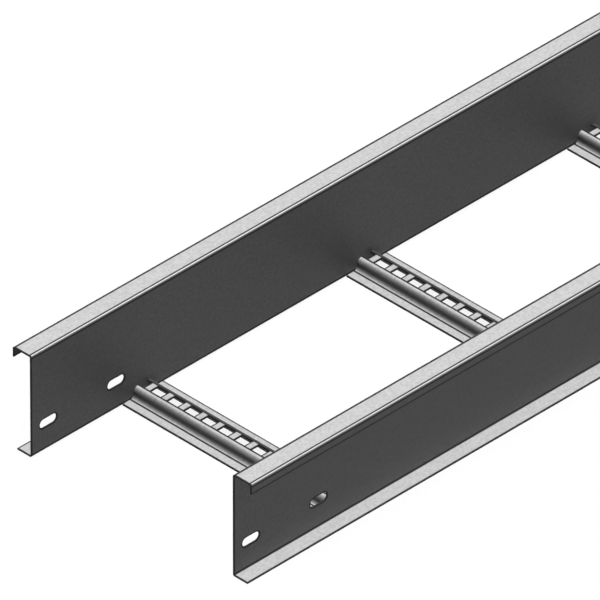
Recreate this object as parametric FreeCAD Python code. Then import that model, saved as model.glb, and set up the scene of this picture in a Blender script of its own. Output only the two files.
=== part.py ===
import FreeCAD, Part
import math
import os

from FreeCAD import Vector

# Cable ladder section: two mirrored side rails with outward flanges and a row of
# welded hat-section rungs. X runs along the rails, Y across the ladder, Z up.
# The origin is the middle of the section's footprint, on the plane it lies on.
# All sizes are in millimetres.

# Whole section
section_length = 3000.0
clear_width = 300.0
rung_count = 9
rung_inset = 165.0
rung_pitch = (section_length - 2.0 * rung_inset) / (rung_count - 1)

# Side rail: a channel of folded sheet, with a lip on its top flange only
rail_height = 130.0
rail_sheet = 1.5
rail_bend = 1.0
top_flange = 27.0
top_lip = 13.0
bottom_flange = 21.5

# Splice slots in each rail web, the same row at either end
splice_slot_count = 2
splice_slot_length = 25.0
splice_slot_width = 11.0
splice_slot_first = 25.0
splice_slot_pitch = 100.0
splice_slot_level = 35.0

# Rung: a hat of rolled sheet, open below, with a foot along either side
rung_width = 61.0
rung_height = 15.0
rung_sheet = 1.5
rung_bend = 5.5
rung_crown = 28.0

# Slots punched along the rung's crown, with the rung cut to length through a slot
crown_slot_length = 15.0
crown_slot_width = 12.0
crown_slot_pitch = 25.0

# How deep a punch reaches, as a multiple of the sheet it passes through
punch_reach = 4.0

# Two corners of an outline nearer than this are one corner
same_point = 0.000001


def unit(start, end):
    """Direction from one point to another."""
    step = end.sub(start)
    return step.multiply(1.0 / step.Length)


def offset_line(points, distance):
    """The same run of straight stretches moved sideways, to the left when distance is above 0."""
    moved = []
    for index, point in enumerate(points):
        sides = []
        if index > 0:
            sides.append(unit(points[index - 1], point))
        if index < len(points) - 1:
            sides.append(unit(point, points[index + 1]))
        lefts = [Vector(-side.y, side.x, 0) for side in sides]
        if len(lefts) == 1:
            moved.append(point.add(lefts[0].multiply(distance)))
            continue
        across = lefts[0].add(lefts[1])
        reach = distance / (1.0 + lefts[0].dot(lefts[1]))
        moved.append(point.add(across.multiply(reach)))
    return moved


def rounded_outline(points, radii):
    """Closed wire in the XY plane, with an arc of the given radius at each corner."""
    edges = []
    count = len(points)
    stretches = []
    for index in range(count):
        corner = points[index]
        before = unit(corner, points[index - 1])
        after = unit(corner, points[(index + 1) % count])
        radius = radii[index]
        if radius <= 0:
            stretches.append((corner, None, corner))
            continue
        half_angle = math.acos(max(-1.0, min(1.0, before.dot(after)))) / 2.0
        cut_back = radius / math.tan(half_angle)
        arc_start = corner.add(Vector(before).multiply(cut_back))
        arc_end = corner.add(Vector(after).multiply(cut_back))
        bisector = before.add(after)
        bisector.normalize()
        to_centre = radius / math.sin(half_angle)
        arc_middle = corner.add(bisector.multiply(to_centre - radius))
        stretches.append((arc_start, arc_middle, arc_end))
    for index, (arc_start, arc_middle, arc_end) in enumerate(stretches):
        if arc_middle is not None:
            edges.append(Part.Arc(arc_start, arc_middle, arc_end).toShape())
        next_start = stretches[(index + 1) % count][0]
        if arc_end.distanceToPoint(next_start) > same_point:
            edges.append(Part.makeLine(arc_end, next_start))
    return Part.Wire(edges)


def folded_sheet(points, sheet, bend):
    """Face of a folded sheet's section. The points run along its right-hand side,
    the sheet lies to their left, and bend is the radius inside each fold."""
    other_side = offset_line(points, sheet)
    outer_radii = [0.0]
    for index in range(1, len(points) - 1):
        before = unit(points[index - 1], points[index])
        after = unit(points[index], points[index + 1])
        turns_left = before.x * after.y - before.y * after.x > 0
        outer_radii.append(bend + sheet if turns_left else bend)
    outer_radii.append(0.0)
    inner_radii = [0.0]
    for radius in outer_radii[1:-1]:
        inner_radii.append(bend if radius > bend else bend + sheet)
    inner_radii.append(0.0)
    outline = rounded_outline(points + other_side[::-1], outer_radii + inner_radii[::-1])
    return Part.Face(outline)


def slot_cutter(length, width, corner, depth):
    """Upright block centred on the origin, length along X, with corners of the given radius."""
    half_length = length / 2.0
    half_width = width / 2.0
    corners = [
        Vector(-half_length, -half_width, 0),
        Vector(half_length, -half_width, 0),
        Vector(half_length, half_width, 0),
        Vector(-half_length, half_width, 0),
    ]
    face = Part.Face(rounded_outline(corners, [corner] * 4))
    face.translate(Vector(0, 0, -depth / 2.0))
    return face.extrude(Vector(0, 0, depth))


def side_rail():
    """Rail on the +Y side, with its web's inner face at half the clear width."""
    web = clear_width / 2.0
    section = [
        Vector(web + bottom_flange, 0, 0),
        Vector(web, 0, 0),
        Vector(web, rail_height, 0),
        Vector(web + top_flange, rail_height, 0),
        Vector(web + top_flange, rail_height - top_lip, 0),
    ]
    # Walked this way round the metal lies to the right, so the run is turned about.
    face = folded_sheet(section[::-1], rail_sheet, rail_bend)
    # A third of a turn about the space diagonal takes X to Y and Y to Z.
    face.rotate(Vector(0, 0, 0), Vector(1, 1, 1), 120)
    face.translate(Vector(-section_length / 2.0, 0, 0))
    rail = face.extrude(Vector(section_length, 0, 0))
    cutters = []
    # The slot's ends are half circles.
    round_end = splice_slot_width / 2.0
    cutter = slot_cutter(splice_slot_length, splice_slot_width, round_end, punch_reach * rail_sheet)
    # A quarter turn about X makes the upright punch lie across the web.
    cutter.rotate(Vector(0, 0, 0), Vector(1, 0, 0), 90)
    for end in (-1, 1):
        for step in range(splice_slot_count):
            inset = splice_slot_first + step * splice_slot_pitch
            place = Vector(end * (section_length / 2.0 - inset), web + rail_sheet / 2.0, splice_slot_level)
            slot = cutter.copy()
            slot.translate(place)
            cutters.append(slot)
    return rail.cut(cutters)


def rung():
    """One rung centred on X = 0, butted between the webs, with its feet on Z = 0."""
    half_width = rung_width / 2.0
    half_crown = rung_crown / 2.0
    top = rung_height
    # The run follows the underside of the feet and the inside of the crown.
    section = [
        Vector(-half_width, 0, 0),
        Vector(-half_crown + rung_sheet, 0, 0),
        Vector(-half_crown + rung_sheet, top - rung_sheet, 0),
        Vector(half_crown - rung_sheet, top - rung_sheet, 0),
        Vector(half_crown - rung_sheet, 0, 0),
        Vector(half_width, 0, 0),
    ]
    face = folded_sheet(section, rung_sheet, rung_bend)
    # A quarter turn about X stands the section up, and it is drawn out along Y.
    face.rotate(Vector(0, 0, 0), Vector(1, 0, 0), 90)
    face.translate(Vector(0, -clear_width / 2.0, 0))
    bar = face.extrude(Vector(0, clear_width, 0))
    # The punch leaves square corners.
    cutter = slot_cutter(crown_slot_width, crown_slot_length, 0.0, punch_reach * rung_sheet)
    slot_reach = int((clear_width / 2.0 + crown_slot_length / 2.0) // crown_slot_pitch)
    cutters = []
    for step in range(-slot_reach, slot_reach + 1):
        slot = cutter.copy()
        slot.translate(Vector(0, step * crown_slot_pitch, top - rung_sheet / 2.0))
        cutters.append(slot)
    return bar.cut(cutters)


def main():
    os.makedirs("parts", exist_ok=True)
    left = side_rail()
    right = left.mirror(Vector(0, 0, 0), Vector(0, 1, 0))
    left.exportStep("parts/rail_left.step")
    right.exportStep("parts/rail_right.step")
    first_rung = rung_inset - section_length / 2.0
    for index in range(rung_count):
        piece = rung()
        piece.translate(Vector(first_rung + index * rung_pitch, 0, 0))
        piece.exportStep("parts/rung_%d.step" % (index + 1))
        print("rung", index + 1, "volume", round(piece.Volume), "valid", piece.isValid())
    print("rail volume", round(left.Volume), "valid", left.isValid())


main()
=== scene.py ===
import math

import bmesh
import bpy
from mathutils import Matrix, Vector


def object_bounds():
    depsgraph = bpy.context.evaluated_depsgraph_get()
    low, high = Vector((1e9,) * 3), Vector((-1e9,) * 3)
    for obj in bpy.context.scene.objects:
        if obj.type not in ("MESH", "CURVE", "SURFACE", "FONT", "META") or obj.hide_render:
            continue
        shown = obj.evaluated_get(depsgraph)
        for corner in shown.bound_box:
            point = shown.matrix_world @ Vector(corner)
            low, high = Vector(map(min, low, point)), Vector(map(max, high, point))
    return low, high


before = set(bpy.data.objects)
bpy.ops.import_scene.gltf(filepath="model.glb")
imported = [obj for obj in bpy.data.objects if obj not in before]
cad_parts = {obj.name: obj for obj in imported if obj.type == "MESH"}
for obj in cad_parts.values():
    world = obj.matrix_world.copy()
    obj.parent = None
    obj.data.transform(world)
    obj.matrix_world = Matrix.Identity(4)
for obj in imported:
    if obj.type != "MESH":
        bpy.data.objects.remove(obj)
cadLow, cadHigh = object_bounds()
print("frame loaded:", len(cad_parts), "pieces")

railNodes = ["rail_left", "rail_right"]
rungNodes = sorted(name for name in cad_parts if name.startswith("rung_"))
millimetresPerMetre = 1000

# Sizes of the solids here and in rail and rung are in millimetres, as in the part's source. They
# only place edges and marks on the surface, so a change to them moves no metal.
ladder = {
    "length": (cadHigh[0] - cadLow[0]) * millimetresPerMetre,
    "sheet": 1.5,
    "layerFull": 1.5,  # counted in sheets from a level face, what still belongs to its metal
    "layerGone": 2.0,  # and what no longer does
}


def hexColour(text):
    # Hex colours are sRGB and shaders take linear ones.
    channels = [int(text[i:i + 2], 16) / 255 for i in (1, 3, 5)]
    linear = [c / 12.92 if c <= 0.04045 else ((c + 0.055) / 1.055) ** 2.4 for c in channels]
    return (*linear, 1.0)


def addNode(tree, kind, inputs=(), **settings):
    # Inputs go by name or in order, each a value or the output that feeds it. The node's own
    # outputs come back.
    node = tree.nodes.new("ShaderNode" + kind)
    for name, value in settings.items():
        setattr(node, name, value)
    given = inputs.items() if isinstance(inputs, dict) else enumerate(inputs)
    for name, value in given:
        if isinstance(value, bpy.types.NodeSocket):
            tree.links.new(value, node.inputs[name])
        else:
            node.inputs[name].default_value = value
    return node.outputs


def largest(tree, values):
    total = values[0]
    for value in values[1:]:
        total = addNode(tree, "Math", (total, value), operation="MAXIMUM")[0]
    return total


def fullWhere(tree, *limits):
    # Each limit is a value, where its mask starts and where it is full, with a smooth way between.
    # Several limits have to hold at once.
    mask, *others = [addNode(tree, "MapRange", limit, interpolation_type="SMOOTHSTEP")[0]
                     for limit in limits]
    for other in others:
        mask = addNode(tree, "Math", (mask, other), operation="MULTIPLY")[0]
    return mask


def coatOver(tree, base, coats):
    # Each coat, a colour or a plain value, lies over the ones before where its mask is full. A mix
    # takes colours at 6 and 7 and gives one at 2, and takes values at 2 and 3 and gives one at 0.
    isColour = isinstance(coats[0][1], tuple)
    under, over, result = (6, 7, 2) if isColour else (2, 3, 0)
    for mask, coat in coats:
        base = addNode(tree, "Mix", {0: mask, under: base, over: coat},
                       data_type="RGBA" if isColour else "FLOAT")[result]
    return base


# The zinc on all pieces. Lengths are in millimetres, and a share says how much lighter or darker
# a pattern makes the colour. Levelness is 1 on a level face and 0 on an upright one.
zinc = {
    # Painted shade: level faces take this pale colour, and upright faces a darker one.
    "levelLitColour": "#c3c3c3",
    # Painted shade for the bends that face +X, +Y or down
    "bendShadeColour": "#484848",
    "markColour": "#242424",
    "edgeColour": "#181818",
    "roughness": 0.56,
    "roughnessSpread": 0.08,
    "bendRoughness": 0.42,
    "dullRoughness": 1.0,
    "metallic": 0.01,  # next to nothing, as the photograph's flat greys mirror nothing
    "bendMetallic": 0.05,
    "dullMetallic": 0.0,
    "spangle": 2.6,  # size of a crystal
    "spangleShare": 0.2,
    "streakWidth": 1.4,  # drawn coarser, as real drag lines of a few tenths don't show
    "streakLength": 120.0,
    "streakShare": 0.05,
    "patina": 90.0,  # size of a cloud
    "patinaDetail": 4.0,
    "patinaShare": 0.05,
    "grain": 0.35,  # drawn coarser, as the real grain of under a tenth doesn't show
    "grainDepth": 0.004,
    "edgeBand": 2.2,  # drawn wider, as the real burr along a cut doesn't show
    "edgeFull": 1.1,  # how much of that band is fully dark
    "markInner": 0.3,  # a roll mark is full up to this share of its width from its middle
    "markOuter": 0.7,  # and gone at this one
    "levelEnd": 0.9995,  # levelness where a level face turns into a bend
    "bendStart": 0.98,  # levelness where the bend has its full finish
    "bendEnd": 0.25,  # levelness from where that fades towards the upright face
    "bendShadeBlend": 0.1,  # how far a face has turned when its painted shade is full
}


def zincPatterns(tree, millimetres, rollAxis):
    # Crystals, each a little lighter or darker and a little more or less dull
    crystals = addNode(tree, "TexVoronoi", {"Vector": millimetres, "Scale": 1 / zinc["spangle"]})
    crystal = addNode(tree, "SeparateColor", (crystals["Color"],))

    # Faint drag lines, the way the strip went through the rolls
    squeeze = [1 / zinc["streakWidth"]] * 3
    squeeze[rollAxis] = 1 / zinc["streakLength"]
    drawn = addNode(tree, "VectorMath", (millimetres, squeeze), operation="MULTIPLY")[0]
    streaks = addNode(tree, "TexNoise", {"Vector": drawn, "Scale": 1.0})[0]

    # Clouds where the zinc has dulled more
    clouds = addNode(tree, "TexNoise", {
        "Vector": millimetres, "Scale": 1 / zinc["patina"], "Detail": zinc["patinaDetail"]})[0]

    # Together they swing the colour's lightness about 1.
    shade = 1.0
    for pattern, share in ((crystal["Red"], zinc["spangleShare"]),
                           (streaks, zinc["streakShare"]), (clouds, zinc["patinaShare"])):
        swing = addNode(tree, "Math", (pattern, share, -share / 2), operation="MULTIPLY_ADD")[0]
        shade = addNode(tree, "Math", (shade, swing), operation="ADD")[0]
    return shade, crystal["Green"]


def bendMasks(tree, normal):
    # Bends face neither straight up nor sideways. The rolls burnish them, and those that face +X,
    # +Y or down get painted shade: a darker colour and no shine.
    facingX, facingY, facingZ = addNode(tree, "SeparateXYZ", (normal,))
    levelness = addNode(tree, "Math", (facingZ, facingZ), operation="MULTIPLY")[0]
    bends = fullWhere(tree, (levelness, zinc["levelEnd"], zinc["bendStart"]),
                      (levelness, 0.0, zinc["bendEnd"]))
    facingXY = addNode(tree, "Math", (facingX, facingY), operation="ADD")[0]
    sideways = fullWhere(tree, (facingXY, 0.0, zinc["bendShadeBlend"]))
    down = fullWhere(tree, (facingZ, 0.0, -zinc["bendShadeBlend"]))
    paintedShadeSide = largest(tree, [sideways, down])
    paintedShadeBends = addNode(tree, "Math", (bends, paintedShadeSide), operation="MULTIPLY")[0]
    return levelness, bends, paintedShadeBends


def rollMarks(tree, across, height, spots, width):
    # The rolls leave a thin dull line where a bend meets the flat of the strip.
    place = addNode(tree, "CombineXYZ", (across, height))[0]
    outer = addNode(tree, "Math", (width, zinc["markOuter"]), operation="MULTIPLY")[0]
    inner = addNode(tree, "Math", (width, zinc["markInner"]), operation="MULTIPLY")[0]
    lines = []
    for spot in spots:
        away = addNode(tree, "VectorMath", (place, (*spot, 0.0)), operation="DISTANCE")["Value"]
        lines.append(fullWhere(tree, (away, outer, inner)))
    return largest(tree, lines)


# Half of the rails' section, as distance from the ladder's middle and height above the floor
rail = {
    "web": 150.0,
    "height": 130.0,
    "topFlange": 27.0,
    "topLip": 13.0,
    "bottomFlange": 21.5,
    "bendOutside": 2.5,
    "slotLength": 25.0,
    "slotWidth": 11.0,
    "slotFirst": 25.0,
    "slotPitch": 100.0,
    "slotLevel": 35.0,
    "lipBand": 3.3,  # how far up the lip the dark of its cut edge fades
    "markWidth": 2.0,
    # Painted shade: the wider marks on the flanges' side towards +Y
    "shadeSideMarkWidth": 2.8,
    "flangeMarkGap": 0.2,  # from the web's bend to the mark on the top flange
    "tipMarkGap": 0.1,  # from the lip's bend to the mark on the top flange
    "topMarkGap": 1.0,  # from the top bends down to the marks on web and lip
    "bottomMarkGap": 0.5,  # from the bottom bend up to the marks on both sides of the web
    # Painted shade: the darker colour that upright faces take in place of the level one
    "uprightShadeColour": "#6a6a6a",
    "specular": 0.42,
}


def railEdges(tree, along, across, height):
    # Sheared and punched edges: both ends, the edges of flange and lip, and round the bolt slots
    band = zinc["edgeBand"]
    full = zinc["edgeFull"]
    sheet = ladder["sheet"]
    layerFull = sheet * ladder["layerFull"]
    layerGone = sheet * ladder["layerGone"]
    fromMiddle = addNode(tree, "Math", (along,), operation="ABSOLUTE")[0]
    fromEnd = addNode(tree, "Math", (ladder["length"] / 2, fromMiddle), operation="SUBTRACT")[0]
    ends = fullWhere(tree, (fromEnd, band, full))
    flangeEdge = rail["web"] + rail["bottomFlange"]
    flange = fullWhere(tree, (across, flangeEdge - band, flangeEdge - full),
                       (height, layerGone, layerFull))
    tip = rail["web"] + rail["topFlange"]
    lipEdge = rail["height"] - rail["topLip"]
    lip = fullWhere(tree, (across, tip - layerGone, tip - sheet),
                    (height, lipEdge + rail["lipBand"], lipEdge))
    # The two bolt slots at an end lie evenly about the middle of their row.
    halfPitch = rail["slotPitch"] / 2
    rowMiddle = rail["slotFirst"] + halfPitch
    fromRow = addNode(tree, "Math", (fromEnd, rowMiddle), operation="SUBTRACT")[0]
    fromRow = addNode(tree, "Math", (fromRow,), operation="ABSOLUTE")[0]
    fromSlot = addNode(tree, "Math", (fromRow, halfPitch), operation="SUBTRACT")[0]
    fromSlot = addNode(tree, "Math", (fromSlot,), operation="ABSOLUTE")[0]
    # A slot's rim runs straight at first and then round its end.
    straight = (rail["slotLength"] - rail["slotWidth"]) / 2
    pastStraight = addNode(tree, "Math", (fromSlot, straight), operation="SUBTRACT")[0]
    pastStraight = largest(tree, [pastStraight, 0.0])
    fromLevel = addNode(tree, "Math", (height, rail["slotLevel"]), operation="SUBTRACT")[0]
    offset = addNode(tree, "CombineXYZ", (pastStraight, fromLevel))[0]
    away = addNode(tree, "VectorMath", (offset,), operation="LENGTH")["Value"]
    rim = rail["slotWidth"] / 2
    slots = fullWhere(tree, (away, rim + band, rim + full))
    return largest(tree, [ends, flange, lip, slots])


def railMarks(tree, acrossLadder, across, height):
    # The marks are wider on the side of each flange towards +Y, where they add painted shade to
    # the bends there.
    web = rail["web"]
    tip = web + rail["topFlange"]
    side = addNode(tree, "Math", (acrossLadder,), operation="SIGN")[0]
    fromMiddle = addNode(tree, "Math", (across, (web + tip) / 2), operation="SUBTRACT")[0]
    towardsY = addNode(tree, "Math", (side, fromMiddle), operation="MULTIPLY")[0]
    onShadeSide = addNode(tree, "Math", (towardsY, 0.0), operation="GREATER_THAN")[0]
    wider = rail["shadeSideMarkWidth"] - rail["markWidth"]
    width = addNode(tree, "Math", (onShadeSide, wider, rail["markWidth"]),
                    operation="MULTIPLY_ADD")[0]
    top = rail["height"]
    bend = rail["bendOutside"]
    sheet = ladder["sheet"]
    belowBend = top - bend - rail["topMarkGap"]
    spots = [
        (web + bend + rail["flangeMarkGap"], top),
        (web, belowBend),
        (web, bend + rail["bottomMarkGap"]),
        (tip - bend - rail["tipMarkGap"], top),
        (tip, belowBend),
        (web + sheet, sheet + rail["bottomMarkGap"]),
    ]
    return rollMarks(tree, across, height, spots, width)


# Half of a rung's section, as distance from its own middle and height above the floor, and the
# row that the rungs stand in
rung = {
    "inset": 165.0,
    "count": len(rungNodes),
    "width": 61.0,
    "height": 15.0,
    "crown": 28.0,
    "bendOutside": 7.0,
    "slotLength": 15.0,
    "slotWidth": 12.0,
    "slotPitch": 25.0,
    "markWidth": 2.3,
    "footMarkOverlap": 0.9,  # how far the mark on a foot lies inside its bend
    # Painted shade: the darker colour that upright faces take in place of the level one
    "uprightShadeColour": "#474747",
    "specular": 0.3,
}


def rungEdges(tree, along, across, height):
    # Slit edges of the feet, and the rims of the slots punched through the crown
    band = zinc["edgeBand"]
    full = zinc["edgeFull"]
    sheet = ladder["sheet"]
    footEdge = rung["width"] / 2
    feet = fullWhere(tree, (across, footEdge - band, footEdge - full))
    halfPitch = rung["slotPitch"] / 2
    fromSlot = addNode(tree, "Math", (along, halfPitch, -halfPitch), operation="WRAP")[0]
    fromSlot = addNode(tree, "Math", (fromSlot,), operation="ABSOLUTE")[0]
    pastLength = addNode(tree, "Math", (fromSlot, rung["slotLength"] / 2), operation="SUBTRACT")[0]
    pastWidth = addNode(tree, "Math", (across, rung["slotWidth"] / 2), operation="SUBTRACT")[0]
    away = largest(tree, [pastLength, pastWidth])
    layerFull = rung["height"] - sheet * ladder["layerFull"]
    layerGone = rung["height"] - sheet * ladder["layerGone"]
    slots = fullWhere(tree, (away, band, full), (height, layerGone, layerFull))
    return largest(tree, [feet, slots])


def rungMarks(tree, across, height):
    bend = rung["bendOutside"]
    sheet = ladder["sheet"]
    crownEdge = rung["crown"] / 2
    spots = [
        (crownEdge - bend, rung["height"]),
        (crownEdge + bend - sheet - rung["footMarkOverlap"], sheet),
    ]
    return rollMarks(tree, across, height, spots, rung["markWidth"])


def sectionPlaces(tree, x, y, z, isRung):
    # How far along the piece, how far off the middle of its section, and how high
    if not isRung:
        return x, addNode(tree, "Math", (y,), operation="ABSOLUTE")[0], z
    pitch = (ladder["length"] - 2 * rung["inset"]) / (rung["count"] - 1)
    toFirst = ladder["length"] / 2 - rung["inset"]
    fromFirst = addNode(tree, "Math", (x, toFirst), operation="ADD")[0]
    fromNearest = addNode(tree, "Math", (fromFirst, pitch / 2, -pitch / 2), operation="WRAP")[0]
    return y, addNode(tree, "Math", (fromNearest,), operation="ABSOLUTE")[0], z


def galvanisedSteel(name, isRung):
    # Steel strip, hot-dip galvanised, roll-formed and left to dull: a matt zinc grey with faint
    # crystals, pale where it lies level, with painted shade that darkens upright faces and the
    # bends facing +X, +Y or down, and dark thin lines where it was cut, punched or rolled
    material = bpy.data.materials.new(name)
    material.use_nodes = True
    tree = material.node_tree
    piece = rung if isRung else rail
    shader = tree.nodes["Principled BSDF"]
    shader.inputs["Specular IOR Level"].default_value = piece["specular"]
    coords = addNode(tree, "TexCoord")
    millimetres = addNode(tree, "VectorMath", {0: coords["Object"], "Scale": millimetresPerMetre},
                          operation="SCALE")[0]
    x, y, z = addNode(tree, "SeparateXYZ", (millimetres,))
    along, across, height = sectionPlaces(tree, x, y, z, isRung)
    shade, crystalDullness = zincPatterns(tree, millimetres, 1 if isRung else 0)
    levelness, bends, paintedShadeBends = bendMasks(tree, coords["Normal"])
    if isRung:
        edges = rungEdges(tree, along, across, height)
        marks = rungMarks(tree, across, height)
    else:
        edges = railEdges(tree, along, across, height)
        marks = railMarks(tree, y, across, height)

    # Painted shade: upright faces take a darker colour than level ones, standing in for how the
    # light falls on them.
    facingShaded = coatOver(tree, hexColour(piece["uprightShadeColour"]),
                         [(levelness, hexColour(zinc["levelLitColour"]))])
    shaded = addNode(tree, "VectorMath", {0: facingShaded, "Scale": shade}, operation="SCALE")[0]
    colour = coatOver(tree, shaded, [
        # The first coat is painted shade on the bends that face +X, +Y or down.
        (paintedShadeBends, hexColour(zinc["bendShadeColour"])),
        (marks, hexColour(zinc["markColour"])),
        (edges, hexColour(zinc["edgeColour"])),
    ])
    tree.links.new(colour, shader.inputs["Base Color"])

    # Cut edges, roll marks and the bends with painted shade have no shine at all.
    dulled = largest(tree, [edges, marks, paintedShadeBends])
    spread = zinc["roughnessSpread"]
    roughness = addNode(tree, "Math", (crystalDullness, spread, zinc["roughness"] - spread / 2),
                        operation="MULTIPLY_ADD")[0]
    roughness = coatOver(tree, roughness, [
        (bends, zinc["bendRoughness"]), (dulled, zinc["dullRoughness"])])
    tree.links.new(roughness, shader.inputs["Roughness"])
    metallic = coatOver(tree, zinc["metallic"], [
        (bends, zinc["bendMetallic"]), (dulled, zinc["dullMetallic"])])
    tree.links.new(metallic, shader.inputs["Metallic"])

    grain = addNode(tree, "TexNoise", {"Vector": millimetres, "Scale": 1 / zinc["grain"]})[0]
    depth = zinc["grainDepth"] / millimetresPerMetre
    bump = addNode(tree, "Bump", {"Height": grain, "Distance": depth})[0]
    tree.links.new(bump, shader.inputs["Normal"])
    return material


def dressNodes(names, material):
    for name in names:
        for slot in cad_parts[name].material_slots:
            slot.material = material


dressNodes(railNodes, galvanisedSteel("galvanisedRail", False))
dressNodes(rungNodes, galvanisedSteel("galvanisedRung", True))
print("galvanised steel on", len(railNodes), "rails and", len(rungNodes), "rungs")

# Floor sizes are in metres. A sun's share is of the light that makes a level surface render in
# its written colour, its spread is in degrees, and towards points from the ladder to the sun.
studio = {
    "floorSize": 40.0,
    "floorDrop": 0.0005,  # keeps the floor clear of the flanges and feet that stand on it
    "floorColour": "#cbcbcb",
    "floorShade": "#3c3c3c",  # what the floor throws back on the ladder
    "worldColour": "#ffffff",
    "fill": 0.12,  # how much of the world's white lights the ladder
    "suns": {
        "keyAbove": {"towards": (0.0, 0.0, 1.0), "share": 0.82, "spread": 20},
        "softAbove": {"towards": (0.0, 0.0, 1.0), "share": 0.09, "spread": 60, "shadow": True},
        "rimFar": {"towards": (1.0, 0.0, 1.41421), "share": 0.8, "spread": 8, "shineOnly": True},
        "rimLeft": {"towards": (0.0, 1.0, 1.41421), "share": 0.25, "spread": 8, "shineOnly": True},
        "rimRight": {"towards": (0.8, -0.5, 1.0), "share": 0.7, "spread": 8, "shineOnly": True},
    },
}


def whiteWhenSeen(tree):
    # 1 for what the lens and the metal's reflections see, 0 for light that bounces on
    path = addNode(tree, "LightPath")
    return largest(tree, [path["Is Camera Ray"], path["Is Glossy Ray"],
                          path["Is Transmission Ray"]])


def floorMaterial():
    # Smooth paper sweep, white to the lens with the ladder's soft shadow on it
    material = bpy.data.materials.new("paperFloor")
    material.use_nodes = True
    tree = material.node_tree
    tree.nodes.remove(tree.nodes["Principled BSDF"])
    bounced = addNode(tree, "BsdfDiffuse", {"Color": hexColour(studio["floorShade"])})[0]
    paper = hexColour(studio["floorColour"])
    lit = addNode(tree, "BsdfDiffuse", {"Color": paper})[0]
    # The glow makes up what the paper's colour lacks to pure white.
    glow = addNode(tree, "Emission", {"Strength": 1.0 - paper[0]})[0]
    seen = addNode(tree, "AddShader", (lit, glow))[0]
    mixed = addNode(tree, "MixShader", (whiteWhenSeen(tree), bounced, seen))[0]
    tree.links.new(mixed, tree.nodes["Material Output"].inputs["Surface"])
    return material


def layFloor():
    bm = bmesh.new()
    bmesh.ops.create_grid(bm, x_segments=1, y_segments=1, size=studio["floorSize"] / 2)
    bmesh.ops.translate(bm, verts=bm.verts, vec=(0.0, 0.0, -studio["floorDrop"]))
    mesh = bpy.data.meshes.new("floor")
    bm.to_mesh(mesh)
    bm.free()
    mesh.materials.append(floorMaterial())
    floor = bpy.data.objects.new("floor", mesh)
    bpy.context.collection.objects.link(floor)


def paintWorld():
    world = bpy.data.worlds.new("studio")
    bpy.context.scene.world = world
    world.use_nodes = True
    tree = world.node_tree
    background = tree.nodes["Background"]
    background.inputs["Color"].default_value = hexColour(studio["worldColour"])
    fill = studio["fill"]
    strength = addNode(tree, "Math", (whiteWhenSeen(tree), 1.0 - fill, fill),
                       operation="MULTIPLY_ADD")[0]
    tree.links.new(strength, background.inputs["Strength"])


def addSun(name, towards, share, spread, shadow=False, shineOnly=False):
    data = bpy.data.lights.new(name, "SUN")
    direction = Vector(towards).normalized()
    data.energy = share * math.pi / direction.z
    data.angle = math.radians(spread)
    data.use_shadow = shadow
    sun = bpy.data.objects.new(name, data)
    bpy.context.collection.objects.link(sun)
    sun.rotation_mode = "QUATERNION"
    sun.rotation_quaternion = direction.to_track_quat("Z", "Y")
    sun.visible_diffuse = not shineOnly


layFloor()
paintWorld()
# A key and a soft light right above the ladder, and three lower rims that only put a shine on it
for sunName, sunSettings in studio["suns"].items():
    addSun(sunName, **sunSettings)
print("studio: paper floor and", len(studio["suns"]), "suns")

# Angles are in degrees, the lens in millimetres, and the frame's width and the aim in metres.
camera = {
    "azimuth": -44.98,
    "elevation": 35.10,
    "frameWidth": 0.6356,
    "lens": 1600.0,
    "aim": (-1.0967, 0.1545, 0.0),
    "clip": (0.5, 2.0),  # as shares of the distance, with all of the ladder between them
}


def photoCamera():
    # A very long lens from far off, because the photograph shows no perspective
    data = bpy.data.cameras.new("photoCamera")
    data.lens = camera["lens"]
    azimuth = math.radians(camera["azimuth"])
    elevation = math.radians(camera["elevation"])
    back = Vector((
        math.sin(azimuth) * math.cos(elevation),
        -math.cos(azimuth) * math.cos(elevation),
        math.sin(elevation),
    ))
    distance = camera["frameWidth"] / data.sensor_width * data.lens
    data.clip_start, data.clip_end = (share * distance for share in camera["clip"])
    holder = bpy.data.objects.new("photoCamera", data)
    bpy.context.collection.objects.link(holder)
    holder.location = Vector(camera["aim"]) + back * distance
    holder.rotation_mode = "QUATERNION"
    holder.rotation_quaternion = (-back).to_track_quat("-Z", "Y")
    bpy.context.scene.camera = holder


photoCamera()
print("camera at azimuth", camera["azimuth"], "elevation", camera["elevation"])

bpy.context.scene.view_settings.view_transform = "Standard"
